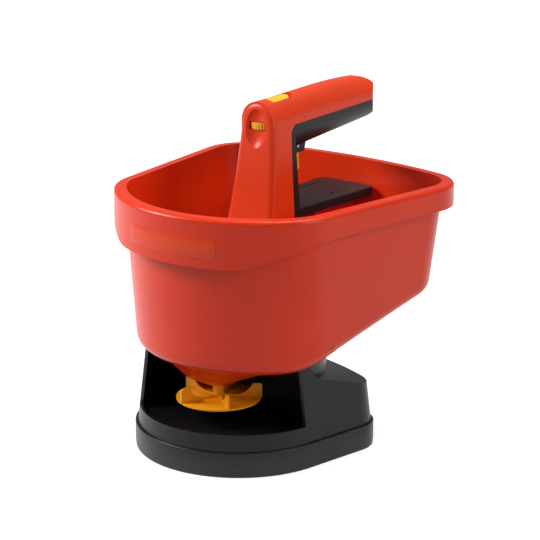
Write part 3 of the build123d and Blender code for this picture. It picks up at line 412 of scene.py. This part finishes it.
FINISHES: dict[str, Any] = {
    "hopper_red": Moulded("hopper_red", RED, roughness=0.30, grain_depth=0.000012, shade=0.035, scuff=0.03),
    "handle_red": Moulded("handle_red", linear(220, 60, 18), roughness=0.34, grain_depth=0.00003, shade=0.03,
                          scuff=0.04),
    # Painted shade: the gear case, motor plate and battery box get a darker red for the shade inside the
    # hopper.
    "inner_red": Moulded("inner_red", RED_PAINTED_SHADE, roughness=0.45, shade=0.05),
    "label_red": Moulded("label_red", linear(220, 62, 18), roughness=0.28, grain_depth=0.000004, shade=0.02,
                         scuff=0.02),
    "foot_black": Moulded("foot_black", linear(16, 16, 17), roughness=0.36, grain_depth=0.00004, shade=0.12,
                          scuff=0.10, dust=0.12),
    "liner_black": Moulded("liner_black", BLACK, roughness=0.45, grain_depth=0.00006, shade=0.1, scuff=0.06),
    "gate_grey": Moulded("gate_grey", linear(84, 86, 88), roughness=0.5),
    "disc_yellow": Moulded("disc_yellow", YELLOW, roughness=0.34, grain_depth=0.00001, shade=0.05,
                           scuff=0.04),
    # Painted light: a yellow lighter than the disc's, to lift the trigger out of the shade it sits in; the
    # dial and slider share it.
    "button_yellow": Moulded("button_yellow", linear(248, 188, 40), roughness=0.38, shade=0.04, scuff=0.05),
    "gear_cream": Moulded("gear_cream", linear(228, 222, 204), roughness=0.4, shade=0.04),
    "bearing_bronze": Metal("bearing_bronze", linear(186, 140, 84), Turning.ROUND_Z, 0.38),
    "turned_steel": Metal("turned_steel", linear(188, 190, 193), Turning.ROUND_Z, 0.26),
    "cross_steel": Metal("cross_steel", linear(188, 190, 193), Turning.ROUND_X, 0.26),
    "motor_steel": Metal("motor_steel", linear(176, 178, 180), Turning.ROUND_Z, 0.34),
    "contact_nickel": Metal("contact_nickel", linear(204, 200, 186), Turning.NONE, 0.24),
}

NODE_FINISH: dict[str, str] = {
    "hopper": "hopper_red", "handle_shell": "handle_red", "gear_case": "inner_red",
    "motor_plate": "inner_red", "battery_box": "inner_red", "foot_shell": "foot_black",
    "foot_floor_plate": "foot_black",
    "handle_liner": "liner_black", "battery_lid": "liner_black", "trigger_hood": "liner_black",
    "motor_switch": "liner_black", "gate_cable": "liner_black", "outlet_gate": "gate_grey",
    "spreading_disc": "disc_yellow", "flow_dial": "button_yellow", "power_slider": "button_yellow",
    "trigger_lever": "button_yellow", "outlet_bush": "bearing_bronze", "case_bush": "bearing_bronze",
    "motor_pinion": "bearing_bronze", "foot_plate_screws": "turned_steel", "hopper_screws": "turned_steel",
    "grip_screws": "turned_steel", "column_screws": "turned_steel", "dial_pin": "turned_steel",
    "trigger_pin": "cross_steel", "trigger_spring": "cross_steel", "drive_shaft": "turned_steel",
    "idler_pin": "turned_steel", "motor_shaft": "turned_steel", "motor_can": "motor_steel",
    "battery_contacts": "contact_nickel", "contact_springs": "contact_nickel", "output_gear": "gear_cream",
    "idler_gear": "gear_cream", "agitator": "gear_cream",
}


class Workbench:
    """Short ways to model a new piece with the edit operators."""

    @staticmethod
    def clear() -> None:
        """Leaves edit mode and deselects everything."""
        if bpy.context.object and bpy.context.object.mode != "OBJECT":
            bpy.ops.object.mode_set(mode="OBJECT")
        bpy.ops.object.select_all(action="DESELECT")

    @staticmethod
    def named(name: str) -> bpy.types.Object:
        """Names the active object and its mesh.

        Args:
            name: The new name.

        Returns:
            The object.
        """
        piece = bpy.context.active_object
        piece.name = name
        piece.data.name = name
        return piece

    @staticmethod
    def pick(piece: bpy.types.Object, kind: str, test: Callable[[Any], bool]) -> int:
        """Selects the faces, edges or vertices that pass a test.

        Args:
            piece: Object in edit mode.
            kind: FACE, EDGE or VERT.
            test: Says of a mesh element whether it is selected.

        Returns:
            How many were selected.
        """
        bpy.ops.object.mode_set(mode="EDIT")
        bpy.ops.mesh.select_mode(type=kind)
        bpy.ops.mesh.select_all(action="DESELECT")
        bpy.ops.object.mode_set(mode="OBJECT")
        elements = {"FACE": piece.data.polygons, "EDGE": piece.data.edges, "VERT": piece.data.vertices}[kind]
        count = 0
        for element in elements:
            if test(element):
                element.select = True
                count += 1
        bpy.ops.object.mode_set(mode="EDIT")
        return count

    @staticmethod
    def finish(piece: bpy.types.Object, modifiers: Sequence[tuple[str, dict[str, Any]]]) -> None:
        """Leaves edit mode, applies modifiers and the object's place, and smooths by angle.

        Args:
            piece: The new piece.
            modifiers: Each modifier's type and settings, in order.
        """
        bpy.ops.object.mode_set(mode="OBJECT")
        for kind, values in modifiers:
            modifier = piece.modifiers.new(kind.lower(), kind)
            for key, value in values.items():
                setattr(modifier, key, value)
            bpy.ops.object.modifier_apply(modifier=modifier.name)
        bpy.ops.object.transform_apply(location=True, rotation=True, scale=True)
        bpy.ops.object.shade_smooth_by_angle(angle=math.radians(SMOOTH_ANGLE))


@dataclass
class LabelPanel:
    """Bare, slightly paler panel on the front of the hopper's skirt."""

    centre_y: float = 0.0661
    radius: float = 0.139
    half_angle: float = 20.7
    low: float = 0.2096
    high: float = 0.2278
    thickness: float = 0.00015
    edge: float = 0.00005
    sides: int = 360

    def build(self) -> bpy.types.Object:
        """Cuts the panel out of a tube wall and gives it its thickness.

        Returns:
            The panel.
        """
        Workbench.clear()
        middle = (0, self.centre_y, (self.low + self.high) / 2)
        bpy.ops.mesh.primitive_cylinder_add(vertices=self.sides, radius=self.radius,
                                            depth=self.high - self.low, end_fill_type="NOTHING",
                                            location=middle)
        piece = Workbench.named("label_panel")
        limit = math.sin(math.radians(self.half_angle)) * self.radius
        Workbench.pick(piece, "FACE", lambda face: abs(face.center.x) > limit or face.center.y > 0)
        bpy.ops.mesh.delete(type="FACE")
        Workbench.finish(piece, [("SOLIDIFY", {"thickness": self.thickness, "offset": 1.0}),
                                 ("BEVEL", {"width": self.edge, "segments": 2, "limit_method": "ANGLE"})])
        return piece

    def dress(self, piece: bpy.types.Object, material: bpy.types.Material) -> None:
        """Gives the panel its finish and its body.

        Args:
            piece: The panel.
            material: Its finish.
        """
        piece.data.materials.clear()
        piece.data.materials.append(material)
        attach(piece, "frame")


@dataclass
class Cells:
    """The four dry cells in the bay, each sleeved with its band at its nub."""

    front: float = 0.1317
    rear: float = 0.1821
    count: int = 4
    nub_at_front: tuple[int, ...] = (2, 3)

    def dress(self) -> None:
        """Gives each cell its sleeve."""
        for number in range(1, self.count + 1):
            turned = number in self.nub_at_front
            sleeve = CellSleeve(f"cell_sleeve_{number}", self.front, self.rear, turned)
            paint(f"battery_cell_{number}", sleeve.make())


@dataclass(frozen=True)
class Lamp:
    """Square area lamp that looks at the spreader."""

    name: str
    place: tuple[float, float, float]
    size: float
    watts: float
    aim: tuple[float, float, float] = (0, 0.06, 0.16)

    def build(self) -> None:
        """Adds the lamp to the scene."""
        data = bpy.data.lights.new(self.name, "AREA")
        data.shape = "SQUARE"
        data.size = self.size
        data.energy = self.watts
        lamp = bpy.data.objects.new(self.name, data)
        bpy.context.scene.collection.objects.link(lamp)
        view = Vector(self.aim) - Vector(self.place)
        turn = view.to_track_quat("-Z", "Y").to_matrix().to_4x4()
        lamp.matrix_world = Matrix.Translation(self.place) @ turn


@dataclass
class Studio:
    """Pale floor, soft lamps, world and camera."""

    camera_place: tuple[float, float, float] = (1.2118, -1.4692, 0.7317)
    azimuth: float = 38.07
    elevation: float = 16.25
    lens: float = 143.18
    sensor: float = 36
    view_end: float = 50
    floor_half: float = 6.0
    floor_colour: Colour = (0.42, 0.42, 0.42)
    floor_lift: float = 0.79
    sky: float = 0.26
    lamps: tuple[Lamp, ...] = (
        Lamp("key_left", (-1.35, -0.9, 1.25), 0.8, 40),
        Lamp("fill_right", (1.7, 0.2, 1.0), 0.9, 13),
        Lamp("top_soft", (0.1, 0.5, 1.9), 1.2, 20),
    )

    def floor(self) -> None:
        """Builds the floor."""
        Workbench.clear()
        bpy.ops.mesh.primitive_plane_add(size=2 * self.floor_half, location=(0, 0, 0))
        piece = Workbench.named("studio_floor")
        Workbench.finish(piece, [])
        piece.data.materials.append(Backdrop("studio_floor", self.floor_colour, self.floor_lift).make())
        piece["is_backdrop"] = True

    def world(self) -> None:
        """Sets an even sky for the light and plain white for the camera."""
        world = bpy.data.worlds.new("studio")
        world.use_nodes = True
        bpy.context.scene.world = world
        tree = world.node_tree
        tree.nodes.clear()
        output = tree.nodes.new("ShaderNodeOutputWorld")
        blend = tree.nodes.new("ShaderNodeMixShader")
        for place, strength in ((1, self.sky), (2, 1.0)):
            light = tree.nodes.new("ShaderNodeBackground")
            light.inputs["Color"].default_value = (1, 1, 1, 1)
            light.inputs["Strength"].default_value = strength
            tree.links.new(light.outputs[0], blend.inputs[place])
        path = tree.nodes.new("ShaderNodeLightPath")
        either = tree.nodes.new("ShaderNodeMath")
        either.operation = "MAXIMUM"
        tree.links.new(path.outputs["Is Camera Ray"], either.inputs[0])
        tree.links.new(path.outputs["Is Transmission Ray"], either.inputs[1])
        tree.links.new(either.outputs[0], blend.inputs[0])
        tree.links.new(blend.outputs[0], output.inputs[0])

    def camera(self) -> None:
        """Sets the camera of the photograph."""
        turn = math.radians(self.azimuth)
        tilt = math.radians(self.elevation)
        right = Vector((math.cos(turn), math.sin(turn), 0))
        back = Vector((math.sin(turn) * math.cos(tilt), -math.cos(turn) * math.cos(tilt), math.sin(tilt)))
        up = back.cross(right)
        data = bpy.data.cameras.new("camera")
        data.lens = self.lens
        data.sensor_width = self.sensor
        data.clip_end = self.view_end
        camera = bpy.data.objects.new("camera", data)
        bpy.context.scene.collection.objects.link(camera)
        axes = Matrix((right, up, back)).transposed().to_4x4()
        camera.matrix_world = Matrix.Translation(self.camera_place) @ axes
        bpy.context.scene.camera = camera

    def build(self) -> None:
        """Builds the whole studio."""
        self.floor()
        for lamp in self.lamps:
            lamp.build()
        self.world()
        self.camera()
        bpy.context.scene.view_settings.view_transform = "Standard"


def paint(node: str, material: bpy.types.Material) -> None:
    """Gives a carried-over node its finish.

    Args:
        node: Name of the node.
        material: Its finish.
    """
    piece = bpy.data.objects[node]
    piece.data.materials.clear()
    piece.data.materials.append(material)


def write_sizes(dressed: Any) -> None:
    """Logs one line once the scene is dressed; no boxes are written.

    Args:
        dressed: Box just before the end; not used.
    """
    LOG.info("sizes written")


def main() -> None:
    """Builds the scene in order and reports each piece."""
    logging.basicConfig(level=logging.INFO, format="%(message)s")
    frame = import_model()
    LOG.info("frame has %d nodes", len(frame["nodes"]))
    materials = {name: finish.make() for name, finish in FINISHES.items()}
    for node, finish in NODE_FINISH.items():
        paint(node, materials[finish])
        LOG.info("node %s: %s", node, finish)
    Cells().dress()
    label = LabelPanel()
    panel = label.build()
    label.dress(panel, materials["label_red"])
    LOG.info("piece %s", panel.name)
    Studio().build()
    write_sizes(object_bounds())


if __name__ == "__main__":
    main()
